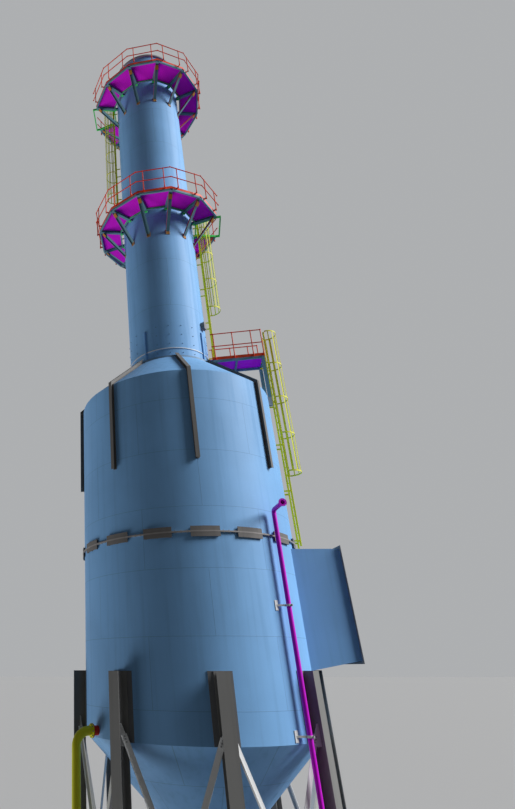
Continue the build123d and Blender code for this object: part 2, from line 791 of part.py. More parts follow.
save("roof_walkway_frame", [turned(roof_walk_frame(), ladder_az)])
save("roof_walkway_seats", [turned(s, ladder_az) for s in roof_walk_seats()])
save("roof_walkway_grating", [turned(roof_walk_grating(), ladder_az)])
save("roof_walkway_handrail", [turned(p, ladder_az) for p in roof_walk_rails()])

ladders = {
    "shell": (shell_r, shell_ladder_standoff, duct_top_z + shell_ladder_gap_over_duct,
              roof_floor_z, ladder_az),
    "lower_stack": (stack_r, ladder_standoff, roof_floor_z, mid_floor_z, ladder_az),
    "upper_stack": (stack_r, ladder_standoff, mid_floor_z, top_floor_z, ladder_az + 180.0),
}
for name, (wall_r, standoff, z0, floor_z, azimuth) in ladders.items():
    z1 = floor_z + stile_past_floor
    save(f"{name}_ladder", [turned(p, azimuth) for p in ladder(wall_r, standoff, z0, z1)])
    hoops_and_straps = cage(wall_r, standoff, z0 + cage_start_h, z1)
    save(f"{name}_ladder_cage", [turned(p, azimuth) for p in hoops_and_straps])

save("riser_pipe", [riser_pipe()])
save("riser_clamps", [turned(riser_clamp(shell_foot_z + lift), riser_az) for lift in riser_clamp_lifts])
save("overflow_nozzle", [turned(overflow_nozzle(), overflow_az)])
save("overflow_pipe", [turned(overflow_pipe(), overflow_az)])
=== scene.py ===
import math

import bmesh
import bpy
import numpy as np
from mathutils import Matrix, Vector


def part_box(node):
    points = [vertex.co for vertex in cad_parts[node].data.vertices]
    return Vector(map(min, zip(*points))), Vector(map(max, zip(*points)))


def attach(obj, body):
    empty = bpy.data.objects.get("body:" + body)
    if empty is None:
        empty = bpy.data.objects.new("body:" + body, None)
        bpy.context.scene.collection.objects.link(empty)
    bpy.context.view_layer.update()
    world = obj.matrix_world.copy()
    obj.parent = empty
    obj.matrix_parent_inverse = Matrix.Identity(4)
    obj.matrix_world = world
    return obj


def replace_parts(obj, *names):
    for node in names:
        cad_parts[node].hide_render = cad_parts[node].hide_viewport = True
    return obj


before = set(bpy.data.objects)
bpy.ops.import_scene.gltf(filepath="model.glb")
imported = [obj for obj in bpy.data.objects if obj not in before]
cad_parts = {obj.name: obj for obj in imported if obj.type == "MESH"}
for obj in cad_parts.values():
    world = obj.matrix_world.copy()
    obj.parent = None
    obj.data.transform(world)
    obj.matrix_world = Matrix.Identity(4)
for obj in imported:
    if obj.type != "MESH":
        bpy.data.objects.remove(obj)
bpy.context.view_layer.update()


# Columns and wall pads
# Eight rolled H sections of mild steel carry the vessel. Each runs up past the foot of the wall
# and is welded to a curved pad there. Blasted, primed and painted a matt grey.

clouds_per_m, grains_per_m, dents_per_m = 0.45, 70.0, 3.0
streaks_per_m = (6.0, 6.0, 0.22)
streak_share, grain_shade = 0.6, 0.05
grain_height, dent_height = 0.15, 0.1
relief, relief_strength = 0.006, 0.35
rough_spread = 0.14
paint_shine = 0.3
column_grey = (0.25, 0.25, 0.245)
pad_grey = (0.17, 0.175, 0.185)


class Socket:
    """One value in a material's nodes. Sums, products and quotients of sockets add Math nodes,
    and node() adds any other node and gives one of its outputs."""

    def __init__(self, tree, link):
        self.tree = tree
        self.link = link

    def node(self, kind, settings, values, output=0):
        made = self.tree.nodes.new(kind)
        for name, setting in settings.items():
            setattr(made, name, setting)
        for name, value in values.items():
            if isinstance(value, Socket):
                self.tree.links.new(value.link, made.inputs[name])
            else:
                made.inputs[name].default_value = value
        return Socket(self.tree, made.outputs[output])

    def maths(self, operation, first, second=0.0):
        return self.node("ShaderNodeMath", {"operation": operation}, {0: first, 1: second})

    def __add__(self, other):
        return self.maths("ADD", self, other)

    def __mul__(self, other):
        return self.maths("MULTIPLY", self, other)

    def __truediv__(self, other):
        return self.maths("DIVIDE", self, other)

    def __sub__(self, other):
        return self.maths("SUBTRACT", self, other)

    def __rsub__(self, other):
        return self.maths("SUBTRACT", other, self)

    __radd__ = __add__
    __rmul__ = __mul__

    def noise(self, scale, detail=2.0):
        """A cloudy value between 0 and 1, with scale clouds to the metre."""
        return self.node("ShaderNodeTexNoise", {}, {"Vector": self, "Scale": scale, "Detail": detail})

    def rise(self, low, high):
        """0 below low, 1 above high and a smooth step between."""
        return self.node("ShaderNodeMapRange", {"interpolation_type": "SMOOTHSTEP"},
                         {"Value": self, "From Min": low, "From Max": high})

    def line(self, half_width):
        """1 where the value is a whole number, falling to 0 at half_width from it."""
        return 1 - self.maths("PINGPONG", self, 0.5).rise(0.0, half_width)

    def stretched(self, scale):
        return self.node("ShaderNodeMapping", {}, {"Vector": self, "Scale": scale})

    def coordinates(self):
        return [self.node("ShaderNodeSeparateXYZ", {}, {"Vector": self}, i) for i in range(3)]


def painted(name, colour, rough=0.5, shade_depth=0.12, seams=None, seam_and_gap_shade=0.3):
    """Paint on steel. Broad clouds and rain streaks that run down shade the colour, a fine grain
    roughens it, and seams, a mask worked out from the place, darkens it and stands up as a weld.
    On the walkway floors that mask is the gaps between the grating's bars, so there it is painted shade."""
    material = bpy.data.materials.new(name)
    material.use_nodes = True
    tree = material.node_tree
    shader = tree.nodes["Principled BSDF"]
    place = Socket(tree, tree.nodes.new("ShaderNodeTexCoord").outputs["Object"])
    clouds = place.noise(clouds_per_m, detail=4.0).rise(low=0.35, high=0.75)
    streaks = place.stretched(streaks_per_m).noise(scale=1.0, detail=3.0).rise(low=0.45, high=0.75)
    grain = place.noise(grains_per_m, detail=3.0)
    shade = 1 - shade_depth * (clouds + streak_share * streaks) - grain_shade * grain
    height = grain_height * grain + dent_height * place.noise(dents_per_m)
    if seams:
        mask = seams(place)
        shade = shade * (1 - seam_and_gap_shade * mask)
        height = height + mask
    tone = place.node("ShaderNodeMix", {"data_type": "RGBA", "blend_type": "MULTIPLY"},
                      {0: 1.0, 6: (*colour, 1.0), 7: shade}, 2)
    bump = place.node("ShaderNodeBump", {},
                      {"Strength": relief_strength, "Distance": relief, "Height": height})
    tree.links.new(tone.link, shader.inputs["Base Color"])
    tree.links.new((rough + rough_spread * (grain + streaks)).link, shader.inputs["Roughness"])
    tree.links.new(bump.link, shader.inputs["Normal"])
    shader.inputs["Specular IOR Level"].default_value = paint_shine
    return material


def dress(material, *nodes):
    """Puts one material in every slot of some solids of the frame."""
    for node in nodes:
        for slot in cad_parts[node].material_slots:
            slot.material = material


dress(painted("column_paint", column_grey, rough=0.62), "legs")
dress(painted("pad_paint", pad_grey, rough=0.62), "leg_pads")


# Base plates and anchor bolts
# A square steel plate under each column stands on the ground. Two threaded rods come up through
# it, each with a round washer and a hexagon nut. Plates painted as the columns, bolts zinc grey.

leg_circle_r = 3.805
leg_count = 8
leg_turns = 360 / leg_count * np.arange(leg_count)
anchor_offset = 0.235
anchor_rod_r = 0.015
merge_distance = 0.00001
zinc = (0.33, 0.34, 0.35)


def grid(points, closed=False):
    """Corners and faces of a sheet of points, rows by columns, closed round its columns if asked.
    Face (i, j) joins the points (i, j), (i, j+1), (i+1, j+1) and (i+1, j)."""
    rows, columns = points.shape[:2]
    i, j = np.meshgrid(np.arange(rows - 1), np.arange(columns - (not closed)), indexing="ij")
    after = (j + 1) % columns
    quads = np.stack([i * columns + j, i * columns + after,
                      (i + 1) * columns + after, (i + 1) * columns + j], axis=-1)
    return points.reshape(-1, 3), [quads.reshape(-1, 4)]


def turned(profile, sides):
    """A turned shape: point (i, j) is profile point i, given as radius r and height z, at the
    angle t = 2 pi j / sides, so (r cos t, r sin t, z)."""
    r, z = np.array(profile, float).T[..., None]
    t = 2 * np.pi * np.arange(sides) / sides
    return grid(np.stack([r * np.cos(t), r * np.sin(t), z + 0 * t], axis=-1), closed=True)


def joined(forms):
    """Several forms as one: each one's faces count on from the corners before it."""
    corners, faces, count = [], [], 0
    for points, lists in forms:
        corners.append(points)
        faces += [f + count for f in lists]
        count += len(points)
    return np.concatenate(corners), faces


def copies(form, places):
    """A form at several places. A place is a 4 by 4 matrix M, and its copy's corners are M times
    the form's corners."""
    corners, faces = form
    moved = np.einsum("pij,cj->pci", places, np.c_[corners, np.ones(len(corners))])[..., :3]
    first = len(corners) * np.arange(len(places))[:, None, None]
    return moved.reshape(-1, 3), [(f + first).reshape(-1, f.shape[1]) for f in faces]


def round_axis(degrees, out=0.0, up=0.0):
    """Places turned about the vessel's axis by some angles a, then out along the turned X and up:
    columns (cos a, sin a, 0), (-sin a, cos a, 0), (0, 0, 1) and (out cos a, out sin a, up)."""
    degrees, out, up = np.broadcast_arrays(np.atleast_1d(degrees), out, up)
    a = np.radians(degrees)
    places = np.zeros((len(a), 4, 4))
    places[:, 0, 0] = places[:, 1, 1] = np.cos(a)
    places[:, 1, 0] = np.sin(a)
    places[:, 0, 1] = -np.sin(a)
    places[:, 2, 2] = places[:, 3, 3] = 1
    places[:, 0, 3] = out * np.cos(a)
    places[:, 1, 3] = out * np.sin(a)
    places[:, 2, 3] = up
    return places


def piece(name, forms, material, smooth_deg=35.0):
    """Makes one object of some forms, with its doubled corners merged, its faces turned outwards
    and its gentle edges smooth, and lets it ride on the object."""
    corners, faces = joined(forms)
    mesh = bpy.data.meshes.new(name)
    mesh.from_pydata(corners.tolist(), [], [f for part in faces for f in part.tolist()])
    work = bmesh.new()
    work.from_mesh(mesh)
    bmesh.ops.remove_doubles(work, verts=work.verts, dist=merge_distance)
    bmesh.ops.recalc_face_normals(work, faces=work.faces)
    work.to_mesh(mesh)
    work.free()
    mesh.polygons.foreach_set("use_smooth", np.ones(len(mesh.polygons), bool))
    mesh.set_sharp_from_angle(angle=math.radians(smooth_deg))
    mesh.materials.append(material)
    made = bpy.data.objects.new(name, mesh)
    bpy.context.scene.collection.objects.link(made)
    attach(made, "root")
    return made


def bolt(rod_r):
    """A washer, a chamfered hexagon nut and the rod's end, standing on the XY plane."""
    washer_r, washer_t = 2.1 * rod_r, 0.35 * rod_r
    nut_r, nut_top, rod_top = 1.85 * rod_r, 1.75 * rod_r, 2.4 * rod_r
    chamfer_r, chamfer_z = 0.8 * nut_r, 0.85 * nut_top
    washer = turned([(0, 0), (washer_r, 0), (washer_r, washer_t), (0, washer_t)], sides=8)
    nut = turned([(nut_r, washer_t), (nut_r, chamfer_z), (chamfer_r, nut_top), (0, nut_top)], sides=6)
    rod = turned([(rod_r, nut_top), (rod_r, rod_top), (0, rod_top)], sides=6)
    return joined([washer, nut, rod])


bolt_metal = painted("zinc_bolts", zinc, rough=0.4, shade_depth=0.05)
plate_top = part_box("base_plates")[1].z
anchors = [round_axis(leg_turns, leg_circle_r + s * anchor_offset, plate_top) for s in (-1, 1)]
piece("anchor_bolts", [copies(bolt(anchor_rod_r), np.concatenate(anchors))], bolt_metal)
dress(painted("base_plate_paint", column_grey, rough=0.62), "base_plates")


# Bracing
# Two angle bars cross in each bay between columns, one on each face of the plates that are
# welded to the column webs. Three bolts hold each end. Everything but the bolts is painted white.

bay_half_deg = 180 / leg_count
plate_out_of_column = 0.06
bay_out = leg_circle_r * math.cos(math.radians(bay_half_deg))
bay_side = leg_circle_r * math.sin(math.radians(bay_half_deg)) - plate_out_of_column
brace_top, brace_foot = 6.874, 0.28
gusset_half_t, brace_t = 0.006, 0.010
end_bolt_marks = np.array([0.24, 0.31, 0.38])
middle_bolt_off = 0.05
brace_bolt_r = 0.010
brace_white = (0.86, 0.87, 0.87)

# Turns what points up towards X.
toward_x = np.array([[0, 0, 1, 0], [0, 1, 0, 0], [-1, 0, 0, 0], [0, 0, 0, 1.0]])


def shifted(x, y, z):
    """The place at (x, y, z), with nothing turned."""
    place = np.eye(4)
    place[:3, 3] = x, y, z
    return place


def brace_bolts(side):
    """Bolts of one bar, on its line from high at one column to low at the next. Each mark is a
    length along the line, counted from both of its ends and from its middle."""
    start = np.array([0, -side * bay_side, brace_top])
    end = np.array([0, side * bay_side, brace_foot])
    length = np.linalg.norm(end - start)
    middle = length / 2
    marks = np.array([*end_bolt_marks, *(length - end_bolt_marks),
                      middle - middle_bolt_off, middle + middle_bolt_off])
    points = start + np.outer(marks / length, end - start)
    faces = ((side * (gusset_half_t + brace_t), side), (-side * gusset_half_t, -side))
    return [shifted(bay_out + x, y, z) @ toward_x @ np.diag([1, 1, look, 1])
            for x, look in faces for _, y, z in points]


bay_places = round_axis(leg_turns + bay_half_deg)
one_bay = joined([copies(bolt(brace_bolt_r), np.array(brace_bolts(s))) for s in (-1, 1)])
piece("brace_bolts", [copies(one_bay, bay_places)], bolt_metal)
brace_paint = painted("brace_paint", brace_white, rough=0.45, shade_depth=0.06)
dress(brace_paint, "braces_outer", "braces_inner", "brace_plates")


# Hopper and its outlet
# Rolled steel plates make a 45 degree cone under the vessel. Weld seams run down it in eight
# lines and round it in rings. The short outlet neck and its flange are a darker grey.

vessel_blue = (0.24, 0.525, 0.93)
blue_rough = 0.5
outlet_grey = (0.2, 0.2, 0.2)
hopper_mean_r = 2.0
hopper_ring_pitch, hopper_plates = 1.1, 8
seam_half_w = 0.012


def wall_seams(radius, course_h, plates):
    """A mask of the welds in a rolled wall: level rings every course_h metres, and upright lines
    at equal angles, as many as there are plates, shifted by half a plate from course to course."""
    def mask(place):
        x, y, z = place.coordinates()
        course = z / course_h
        half_turns = place.maths("ARCTAN2", y, x) * (plates / (2 * math.pi))
        shift = 0.5 * place.maths("FLOOR", course)
        ring = course.line(seam_half_w / course_h)
        upright = (half_turns + shift).line(seam_half_w * plates / (2 * math.pi * radius))
        return place.maths("MAXIMUM", ring, upright)
    return mask


hopper_seams = wall_seams(hopper_mean_r, hopper_ring_pitch, hopper_plates)
dress(painted("hopper_paint", vessel_blue, blue_rough, seams=hopper_seams), "hopper_cone")
dress(painted("outlet_paint", outlet_grey, rough=0.55), "hopper_outlet")


# Vessel
# Two courses of rolled plate, welded from rings about 1.8 m high with their upright seams
# staggered, and painted a clear light blue inside and out.

shell_r = 3.6
shell_ring_h, shell_plates = 1.82, 6
shell_seams = wall_seams(shell_r, shell_ring_h, shell_plates)
vessel_paint = painted("vessel_paint", vessel_blue, blue_rough, seams=shell_seams)
dress(vessel_paint, "shell_lower_course", "shell_upper_course")


# Girth joint
# A flange ring on each course, bolted together, with sixteen pairs of curved plates above and
# below it. Rings light grey, plates dark grey, a few bolts in each gap between the plates.

girth_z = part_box("girth_flange_upper")[0].z
girth_t = 0.020
girth_bolt_off_wall = 0.045
girth_bolt_circle_r = shell_r + girth_bolt_off_wall
girth_bolt_r = 0.010
girth_ring_grey, girth_plate_grey = (0.36, 0.34, 0.33), (0.2, 0.19, 0.185)
clamp_count = 16
gap_turns = 360 / clamp_count * (np.arange(clamp_count) + 0.5)
gap_bolt_step = 2.8
upside_down = np.diag([1, -1, -1, 1])
bolt_turns = np.add.outer(gap_turns, (-gap_bolt_step, 0.0, gap_bolt_step)).ravel()
upper_bolts = round_axis(bolt_turns, girth_bolt_circle_r, girth_z + girth_t)
lower_bolts = round_axis(bolt_turns, girth_bolt_circle_r, girth_z - girth_t) @ upside_down
piece("girth_bolts", [copies(bolt(girth_bolt_r), np.concatenate([upper_bolts, lower_bolts]))],
      bolt_metal)
girth_ring_paint = painted("girth_ring_paint", girth_ring_grey, rough=0.5)
dress(girth_ring_paint, "girth_flange_lower", "girth_flange_upper")
dress(painted("girth_plate_paint", girth_plate_grey, rough=0.6), "girth_clamps")


# Gas inlet duct
# A rectangular duct of flat plate with a floor that falls to the vessel, welded into the wall.
# A flat frame goes round its mouth, and its bolt holes are black discs on its face, painted shade.
# Duct blue as the vessel, frame grey.

duct_half_w = 1.960
duct_frame_w = 0.090
duct_frame_grey = (0.22, 0.22, 0.22)
hole_pitch = 0.16
hole_r, hole_disc_t, hole_disc_sunk = 0.011, 0.001, 0.0008
hole_shadow_colour = (0.01, 0.01, 0.01)
frame_low, frame_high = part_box("inlet_duct_flange")


def duct_hole_places():
    """Places in the middle of the frame's four sides, at an even pitch, on its outer face."""
    half_w = duct_half_w + duct_frame_w / 2
    low = frame_low.z + duct_frame_w / 2
    high = frame_high.z - duct_frame_w / 2
    ys = np.linspace(-half_w, half_w, round(2 * half_w / hole_pitch) + 1)[1:-1]
    zs = np.linspace(low, high, round((high - low) / hole_pitch) + 1)[1:-1]
    spots = [(y, z) for z in (low, high) for y in ys] + [(y, z) for y in (-half_w, half_w) for z in zs]
    return np.array([shifted(frame_high.x - hole_disc_sunk, y, z) @ toward_x for y, z in spots])


# Black discs on the frame's outer face, painted shade where the bolt holes are.
hole = turned([(0, 0), (hole_r, 0), (hole_r, hole_disc_t), (0, hole_disc_t)], sides=10)
hole_shadow_paint = painted("bolt_hole_shadow", hole_shadow_colour, rough=0.8, shade_depth=0.0)
piece("duct_flange_hole_shadows", [copies(hole, duct_hole_places())], hole_shadow_paint)
dress(painted("duct_paint", vessel_blue, blue_rough), "inlet_duct")
dress(painted("duct_frame_paint", duct_frame_grey, rough=0.55), "inlet_duct_flange")


# Roof and its ribs
# A cone of twelve plates, welded along lines from neck to rim. Eight bent H sections run from
# the neck down the cone, over the rim and down the wall. Cone blue, ribs matt dark grey.

rib_grey = (0.20, 0.192, 0.185)
roof_mean_r = 2.7
# The pitch of level seams is so long that none crosses the roof.
roof_ring_pitch, roof_plates = 40.0, 12
roof_seams = wall_seams(roof_mean_r, roof_ring_pitch, roof_plates)
dress(painted("roof_paint", vessel_blue, blue_rough, seams=roof_seams), "roof_cone")
dress(painted("rib_paint", rib_grey, rough=0.6), "roof_ribs")


# Stack
# Rolled plate in two long lengths on a thick base ring that is bolted down all round. Four
# upright bars, rows of threaded bosses and a thin white ring stand on its foot, and a small
# instrument box a little higher. A grey ring stiffens the mouth.

stack_r = 1.6
stack_plate_h, stack_plates = 2.4, 2
base_ring_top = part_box("stack_base_ring")[1].z
base_bolt_circle_r = 1.725
base_bolt_r = 0.014
base_bolt_count, base_bolt_first = 24, 3.0
base_bolt_turns = base_bolt_first + 360 / base_bolt_count * np.arange(base_bolt_count)
bar_count, bar_first_deg = 4, 47.5
boss_step, steps_per_bar = 18.0, 5
boss_rows = (19.34, 19.75, 20.175, 20.59)
boss_r, boss_tip_r = 0.016, 0.0096
boss_let_in, boss_l, boss_tip_l = 0.004, 0.020, 0.030
box_turn, box_z = -35.5, 20.915
box_w, box_h, box_depth = 0.20, 0.29, 0.16
box_let_in, box_corner = 0.01, 0.012
lid_t, lid_gap, lid_edge, lid_corner = 0.018, 0.002, 0.012, 0.006
gland_nut_r, gland_r, gland_off = 0.028, 0.018, 0.05
gland_nut_l, gland_shoulder_l, gland_l = 0.02, 0.03, 0.06
boss_blue, base_ring_blue = (0.14, 0.25, 0.38), (0.24, 0.4, 0.6)
box_grey, mouth_ring_grey = (0.30, 0.30, 0.29), (0.28, 0.275, 0.285)


def slab(x0, x1, y0, y1, z0, z1, bevel=0.004):
    """A plate with bevelled edges along Z: an eight-cornered outline at z0 and z1, closed by a
    pole at the middle of each end."""
    b = bevel
    outline = np.array([(x0 + b, y0), (x1 - b, y0), (x1, y0 + b), (x1, y1 - b),
                        (x1 - b, y1), (x0 + b, y1), (x0, y1 - b), (x0, y0 + b)])
    middle = outline.mean(axis=0)
    rows = [(middle + 0 * outline, z0), (outline, z0), (outline, z1), (middle + 0 * outline, z1)]
    return grid(np.array([np.c_[o, np.full(len(o), z)] for o, z in rows]), closed=True)


base_places = round_axis(base_bolt_turns, base_bolt_circle_r, base_ring_top)
piece("stack_base_bolts", [copies(bolt(base_bolt_r), base_places)], bolt_metal)

boss = turned([(0, -boss_let_in), (boss_r, -boss_let_in), (boss_r, boss_l), (boss_tip_r, boss_l),
               (boss_tip_r, boss_tip_l), (0, boss_tip_l)], sides=8)
boss_steps = [k for k in range(bar_count * steps_per_bar) if k % steps_per_bar]
boss_turns = bar_first_deg + boss_step * np.array(boss_steps)
boss_places = np.concatenate([round_axis(boss_turns, stack_r, z) for z in boss_rows]) @ toward_x
boss_paint = painted("boss_paint", boss_blue, rough=0.5)
piece("stack_bosses", [copies(boss, boss_places)], boss_paint)

half_w, half_h = box_w / 2, box_h / 2
lid_half_w, lid_half_h = half_w + lid_edge, half_h + lid_edge
box_body = slab(-box_let_in, box_depth - lid_t - lid_gap, -half_w, half_w, -half_h, half_h, box_corner)
box_lid = slab(box_depth - lid_t, box_depth, -lid_half_w, lid_half_w, -lid_half_h, lid_half_h, lid_corner)
gland = turned([(0, 0), (gland_nut_r, 0), (gland_nut_r, gland_nut_l), (gland_r, gland_shoulder_l),
                (gland_r, gland_l), (0, gland_l)], sides=12)
gland_places = [shifted(box_depth / 2, y, -half_h) @ upside_down for y in (-gland_off, gland_off)]
box_forms = joined([box_body, box_lid, copies(gland, np.array(gland_places))])
box_enamel = painted("box_enamel", box_grey, rough=0.35, shade_depth=0.05)
piece("instrument_box", [copies(box_forms, round_axis(box_turn, stack_r, box_z))], box_enamel)

stack_seams = wall_seams(stack_r, stack_plate_h, stack_plates)
stack_paint = painted("stack_paint", vessel_blue, blue_rough, seams=stack_seams)
dress(stack_paint, "stack_lower", "stack_upper", "stack_foot_bars")
dress(painted("base_ring_paint", base_ring_blue, rough=0.5), "stack_base_ring")
dress(painted("white_ring_paint", brace_white, rough=0.4, shade_depth=0.05), "stack_foot_band")
dress(painted("mouth_ring_paint", mouth_ring_grey, rough=0.5), "stack_top_ring")


# Walkway brackets
# At each corner of a walkway an H beam sticks out from the stack, propped by an angle bar. Both
# are painted dark teal, but the angle's narrow leg still shows dark red primer on its left.
# Orange-brown plates join the two to the stack and to each other.

walk_sides = 12
side_turn = 30.0
hatch_turn = -9.6
corner_turns = hatch_turn + side_turn * (np.arange(walk_sides) + 0.5)
walk_names = ("mid_walkway", "top_walkway")
hatch_sides = (0, 6)
walk_z = [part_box(f"{name}_edge_beams")[0].z for name in walk_names]
beam_w, beam_h = 0.130, 0.100
beam_flange_t, beam_web_t = 0.009, 0.006
steel_let_in, plate_let_in = 0.006, 0.008
bracket_tip_r = 2.760
strut_top_r = 2.670
strut_drop = 1.310
strut_w, strut_depth, strut_t = 0.160, 0.075, 0.010
mitre_run = 0.002
primer_t, primer_edge = 0.0015, 0.001
plate_w, plate_h, plate_t = 0.180, 0.240, 0.016
plate_lift = 0.040
plate_bolt_y, plate_bolt_z, plate_bolt_r = 0.065, 0.09, 0.009
cap_off_end, cap_l, cap_w, cap_t = 0.26, 0.20, 0.150, 0.010
teal = (0.155, 0.33, 0.41)
primer_red = (0.52, 0.03, 0.06)
plate_orange = (0.55, 0.22, 0.035)


def carried(outline, path, up, closed=False):
    """An outline carried along a path with mitred corners. At each path point it stands on the
    run that arrives there, its x to the side (run cross up) and its y upwards, and each of its
    points slides along that run until it meets the plane that halves the corner."""
    path = np.array(path, float)
    leave = np.diff(path, axis=0, append=path[:1])
    leave /= np.linalg.norm(leave, axis=1, keepdims=True)
    arrive = np.roll(leave, 1, axis=0)
    if not closed:
        arrive[0] = leave[0]
        leave[-1] = arrive[-1]
    halving = (arrive + leave)[:, None]
    side = np.cross(arrive, up)
    side /= np.linalg.norm(side, axis=1, keepdims=True)
    high = np.cross(side, arrive)
    x, y = np.array(outline, float).T[..., None]
    offset = side[:, None] * x + high[:, None] * y
    along = (offset * halving).sum(-1, keepdims=True) / (arrive[:, None] * halving).sum(-1, keepdims=True)
    points = path[:, None] + offset - along * arrive[:, None]
    if closed:
        return grid(np.concatenate([points, points[:1]]), closed=True)
    corners, faces = grid(points, closed=True)
    count = len(outline)
    ends = np.array([np.arange(count)[::-1], np.arange(count) + len(corners) - count])
    return corners, [*faces, ends]


def flat_outline(w, h):
    return [(-w / 2, -h / 2), (w / 2, -h / 2), (w / 2, h / 2), (-w / 2, h / 2)]


def h_outline(w, h, flange, web):
    """An H section, w wide across its flanges and h high."""
    a, b, c, d = w / 2, h / 2, h / 2 - flange, web / 2
    return [(-a, -b), (a, -b), (a, -c), (d, -c), (d, c), (a, c),
            (a, b), (-a, b), (-a, c), (-d, c), (-d, -c), (-a, -c)]


def angle_outline(depth, w, t):
    """An angle: its wide leg along y at the high side of x, its other leg along x at the low y."""
    a, b = depth / 2, w / 2
    return [(-a, -b), (a, -b), (a, b), (a - t, b), (a - t, t - b), (-a, t - b)]


def bracket_forms(z):
    """One bracket in the plane of X and Z: beam and strut, the primer on the strut, and plates.
    With d the strut's run, its ends are cut upright and level, since a corner of a path is cut
    across d and its mirror image (dx, -dz) at the wall, and (-dx, dz) under the beam."""
    start, middle = stack_r - steel_let_in, z + beam_h / 2
    beam_section = h_outline(beam_w, beam_h, beam_flange_t, beam_web_t)
    beam = carried(beam_section, [(start, 0, middle), (bracket_tip_r, 0, middle)], (0, 0, 1))
    foot = np.array([start, 0, z - strut_drop])
    run = np.array([strut_top_r, 0, middle]) - foot
    run /= np.linalg.norm(run)
    end = foot + run * strut_drop / run[2]
    path = np.array([foot - mitre_run * run * (1, 0, -1), foot, end, end + mitre_run * run * (-1, 0, 1)])
    strut = carried(angle_outline(strut_depth, strut_w, strut_t), path, (0, 1, 0))
    primer_section = flat_outline(strut_depth - 2 * primer_edge, primer_t)
    primer = carried(primer_section, path - (0, strut_w / 2, 0), (0, 1, 0))
    half_w, half_h = plate_w / 2, plate_h / 2
    low = z - strut_drop + plate_lift
    wall_plate = slab(stack_r - plate_let_in, stack_r + plate_t, -half_w, half_w, low - half_h, low + half_h)
    outward = np.array([run[2], 0, -run[0]])
    cap_at = end - run * cap_off_end + outward * (strut_depth + cap_t) / 2
    cap = carried(flat_outline(cap_t, cap_w), [cap_at, cap_at + run * cap_l], (0, 1, 0))
    return joined([beam, strut]), primer, joined([wall_plate, cap])


beam_paint = painted("beam_paint", teal, rough=0.5)
primer_coat = painted("strut_primer", primer_red, rough=0.7)
plate_paint = painted("bracket_plate_paint", plate_orange, rough=0.6)
corner_places = round_axis(corner_turns)
plate_bolts = np.array([shifted(stack_r + plate_t, y, plate_lift - strut_drop + h) @ toward_x
                        for y in (-plate_bolt_y, plate_bolt_y) for h in (-plate_bolt_z, plate_bolt_z)])
for name, z in zip(walk_names, walk_z):
    steel, primed, plates = bracket_forms(z)
    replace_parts(piece(f"{name}_bracket_steel", [copies(steel, corner_places)], beam_paint),
                f"{name}_brackets")
    piece(f"{name}_strut_primer", [copies(primed, corner_places)], primer_coat)
    piece(f"{name}_bracket_plates", [copies(plates, corner_places)], plate_paint)
    bolt_set = copies(bolt(plate_bolt_r), shifted(0, 0, z) @ plate_bolts)
    piece(f"{name}_plate_bolts", [copies(bolt_set, corner_places)], bolt_metal)
    dress(beam_paint, f"{name}_edge_beams")


# Walkway floors
# Panels of bar grating, close flat bars with twisted cross rods every 100 mm, lie between the
# brackets. They are coated magenta, and the gaps between their bars and rods are painted darker,
# as painted shade. A green strip lines the inner beam under the floor, cleats hold that beam at
# each bracket, and green bars frame the opening round each ladder.

grating_magenta = (0.96, 0.0, 0.96)
hatch_green = (0.07, 0.80, 0.16)
bar_pitch, rod_pitch = 0.041, 0.100
bar_half_share, rod_half_share = 0.28, 0.08
inner_corner_r = 1.775
walk_in = inner_corner_r * math.cos(math.radians(side_turn / 2))
inner_beam_w = 0.040
strip_h, strip_t, strip_lift = 0.060, 0.006, 0.010
cleat_in, cleat_out, cleat_half_w, cleat_h = 0.03, 0.05, 0.06, 0.05


def grating_gap_shade(place):
    """A mask of the gaps between bars and rods, which the floor's paint darkens as painted shade. With
    u the distance out along a side's middle line and v the distance along the side, u = r cos t and
    v = r sin t, where t is the angle from that line."""
    x, y, _ = place.coordinates()
    turns = (place.maths("ARCTAN2", y, x) * (180 / math.pi / side_turn)) + (0.5 - hatch_turn / side_turn)
    t = (place.maths("FRACT", turns) - 0.5) * math.radians(side_turn)
    r = place.maths("SQRT", x * x + y * y)
    u = r * place.maths("COSINE", t)
    v = r * place.maths("SINE", t)
    bars = (u / bar_pitch).line(bar_half_share)
    rods = (v / rod_pitch).line(rod_half_share)
    return 1 - place.maths("MAXIMUM", bars, rods)


def corner_path(apothem, z, hatch_side):
    """Corner points of the twelve-sided ring, from one side of the ladder's opening to the other."""
    turns = np.radians(hatch_turn + side_turn * (hatch_side + 0.5 + np.arange(walk_sides)))
    r = apothem / math.cos(math.radians(side_turn / 2))
    return np.stack([r * np.cos(turns), r * np.sin(turns), np.full(walk_sides, z)], axis=-1)


# The gaps in the grating's pattern are painted darker: painted shade.
grating_coat = painted("grating_coat", grating_magenta, rough=0.55, shade_depth=0.06,
                       seams=grating_gap_shade, seam_and_gap_shade=0.22)
green_paint = painted("green_paint", hatch_green, rough=0.45, shade_depth=0.06)
cleat = slab(walk_in - cleat_in, walk_in + cleat_out, -cleat_half_w, cleat_half_w, -cleat_h, 0.0)
strip_apothem = walk_in + inner_beam_w + strip_t / 2
for name, z, hatch_side in zip(walk_names, walk_z, hatch_sides):
    strip_path = corner_path(strip_apothem, z + strip_lift + strip_h / 2, hatch_side)
    strip = carried(flat_outline(strip_t, strip_h), strip_path, (0, 0, 1))
    cleats = copies(cleat, round_axis(corner_turns, 0.0, z))
    piece(f"{name}_inner_strip", [strip, cleats], green_paint)
    dress(grating_coat, f"{name}_grating")
    dress(green_paint, f"{name}_hatch_frame")


# Walkway handrails
# Steel tube of 42 mm on posts with ball joints, held on brackets outside the edge beam, and a flat
# toe board on the beam. The whole rail is painted orange red.

